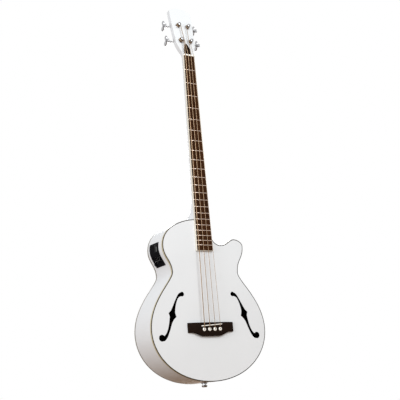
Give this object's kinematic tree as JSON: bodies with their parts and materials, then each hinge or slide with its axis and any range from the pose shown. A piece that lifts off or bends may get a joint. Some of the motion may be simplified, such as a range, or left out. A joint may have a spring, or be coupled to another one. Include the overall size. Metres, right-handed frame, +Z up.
{
  "type": "acoustic bass guitar",
  "caption": "Acoustic bass guitar with a white gloss cutaway body, f-holes, cream binding, dark rosewood fingerboard and bridge, clover-key tuners and a side preamp.",
  "frame": {"origin": "bottom centre of the bounding box: under the end jack, midway between the front of the strings and the back of the body", "axes": "+X to the treble side, -Y out of the soundboard's face, +Z up along the neck towards the head"},
  "size_m": [0.4, 0.1338, 1.2293],
  "materials": {
    "white_lacquer": "high gloss white lacquer over wood",
    "raw_spruce": "planed bare spruce",
    "raw_mahogany": "planed bare mahogany",
    "cream_binding": "polished cream plastic strip",
    "black_line": "thin dark inlaid line",
    "rosewood": "satin dark brown rosewood",
    "bone": "polished ivory-coloured plastic",
    "pale_gold_frets": "polished pale nickel alloy",
    "chrome": "bright chrome plate",
    "bronze_strings": "round-wound bronze",
    "black_plastic": "fine satin black plastic",
    "steel": "plain steel",
    "pickup_brass": "bare brass strip",
    "circuit_card": "green circuit card"
  },
  "bodies": {
    "guitar": {"truss_rod_cover": "rosewood", "tuner_plate_1": "chrome", "tuner_plate_2": "chrome", "tuner_plate_3": "chrome", "tuner_plate_4": "chrome", "top_plate": "white_lacquer", "back_plate": "white_lacquer", "rib_bass": "white_lacquer", "rib_treble": "white_lacquer", "top_purfling": "black_line", "top_binding": "cream_binding", "back_binding": "cream_binding", "top_lining": "raw_mahogany", "back_lining": "raw_mahogany", "neck_block": "raw_mahogany", "tail_block": "raw_mahogany", "top_brace": "raw_spruce", "back_brace": "raw_spruce", "bridge_plate": "raw_mahogany", "bridge": "rosewood", "saddle_pickup": "pickup_brass", "saddle": "bone", "bridge_pin_1": "bone", "bridge_pin_2": "bone", "bridge_pin_3": "bone", "bridge_pin_4": "bone", "neck": "white_lacquer", "heel_cap": "rosewood", "fingerboard": "rosewood", "fingerboard_binding": "cream_binding", "frets": "pale_gold_frets", "nut": "bone", "truss_rod": "steel", "string_1": "bronze_strings", "string_2": "bronze_strings", "string_3": "bronze_strings", "string_4": "bronze_strings", "preamp_panel": "black_plastic", "preamp_case": "black_plastic", "battery": "steel", "circuit_board": "circuit_card", "jack_washer": "black_plastic", "end_jack": "chrome", "strap_button": "chrome"},
    "tuner_key_1": {"tuner_key_1": "chrome"},
    "tuner_post_1": {"tuner_post_1": "chrome"},
    "tuner_key_2": {"tuner_key_2": "chrome"},
    "tuner_post_2": {"tuner_post_2": "chrome"},
    "tuner_key_3": {"tuner_key_3": "chrome"},
    "tuner_post_3": {"tuner_post_3": "chrome"},
    "tuner_key_4": {"tuner_key_4": "chrome"},
    "tuner_post_4": {"tuner_post_4": "chrome"},
    "eq_slider_1": {"eq_slider_1": "black_plastic"},
    "eq_slider_2": {"eq_slider_2": "black_plastic"},
    "eq_slider_3": {"eq_slider_3": "black_plastic"},
    "eq_slider_4": {"eq_slider_4": "black_plastic"},
    "volume_knob": {"volume_knob": "black_plastic"},
    "tuner_button": {"tuner_button": "black_plastic"},
    "battery_door": {"battery_door": "black_plastic"}
  },
  "joints": [
    {"name": "tuner_key_1_turn", "type": "hinge", "parent": "guitar", "child": "tuner_key_1", "pos_m": [-0.0555, -0.02008, 1.10442], "axis": [-1, 0, 0], "continuous": true},
    {"name": "tuner_post_1_turn", "type": "hinge", "parent": "guitar", "child": "tuner_post_1", "pos_m": [-0.0178, -0.04224, 1.10146], "axis": [0, -0.9833, 0.1822], "continuous": true},
    {"name": "tuner_key_2_turn", "type": "hinge", "parent": "guitar", "child": "tuner_key_2", "pos_m": [-0.0555, -0.00951, 1.16145], "axis": [-1, 0, 0], "continuous": true},
    {"name": "tuner_post_2_turn", "type": "hinge", "parent": "guitar", "child": "tuner_post_2", "pos_m": [-0.0178, -0.03167, 1.15849], "axis": [0, -0.9833, 0.1822], "continuous": true},
    {"name": "tuner_key_3_turn", "type": "hinge", "parent": "guitar", "child": "tuner_key_3", "pos_m": [0.0555, -0.00951, 1.16145], "axis": [1, 0, 0], "continuous": true},
    {"name": "tuner_post_3_turn", "type": "hinge", "parent": "guitar", "child": "tuner_post_3", "pos_m": [0.0178, -0.03167, 1.15849], "axis": [0, -0.9833, 0.1822], "continuous": true},
    {"name": "tuner_key_4_turn", "type": "hinge", "parent": "guitar", "child": "tuner_key_4", "pos_m": [0.0555, -0.02008, 1.10442], "axis": [1, 0, 0], "continuous": true},
    {"name": "tuner_post_4_turn", "type": "hinge", "parent": "guitar", "child": "tuner_post_4", "pos_m": [0.0178, -0.04224, 1.10146], "axis": [0, -0.9833, 0.1822], "continuous": true},
    {"name": "eq_slider_1_slide", "type": "slide", "parent": "guitar", "child": "eq_slider_1", "axis": [-0.4953, 0, 0.8688], "range_m": [-0.009, 0.009]},
    {"name": "eq_slider_2_slide", "type": "slide", "parent": "guitar", "child": "eq_slider_2", "axis": [-0.4953, 0, 0.8688], "range_m": [-0.009, 0.009]},
    {"name": "eq_slider_3_slide", "type": "slide", "parent": "guitar", "child": "eq_slider_3", "axis": [-0.4953, 0, 0.8688], "range_m": [-0.009, 0.009]},
    {"name": "eq_slider_4_slide", "type": "slide", "parent": "guitar", "child": "eq_slider_4", "axis": [-0.4953, 0, 0.8688], "range_m": [-0.009, 0.009]},
    {"name": "volume_turn", "type": "hinge", "parent": "guitar", "child": "volume_knob", "pos_m": [-0.12824, 0.01792, 0.375], "axis": [-0.8771, 0, -0.4803], "range_deg": [-135, 135]},
    {"name": "tuner_button_press", "type": "slide", "parent": "guitar", "child": "tuner_button", "axis": [0.9147, 0, 0.4041], "range_m": [0, 0.0012], "stiffness_N_per_m": 200},
    {"name": "battery_door_swing", "type": "hinge", "parent": "guitar", "child": "battery_door", "pos_m": [-0.14447, 0.01292, 0.4045], "axis": [0, -1, 0], "range_deg": [0, 95]}
  ],
  "couplings": [
    {"joint": "tuner_post_1_turn", "follows": "tuner_key_1_turn", "ratio": 0.07143},
    {"joint": "tuner_post_2_turn", "follows": "tuner_key_2_turn", "ratio": 0.07143},
    {"joint": "tuner_post_3_turn", "follows": "tuner_key_3_turn", "ratio": 0.07143},
    {"joint": "tuner_post_4_turn", "follows": "tuner_key_4_turn", "ratio": 0.07143}
  ]
}
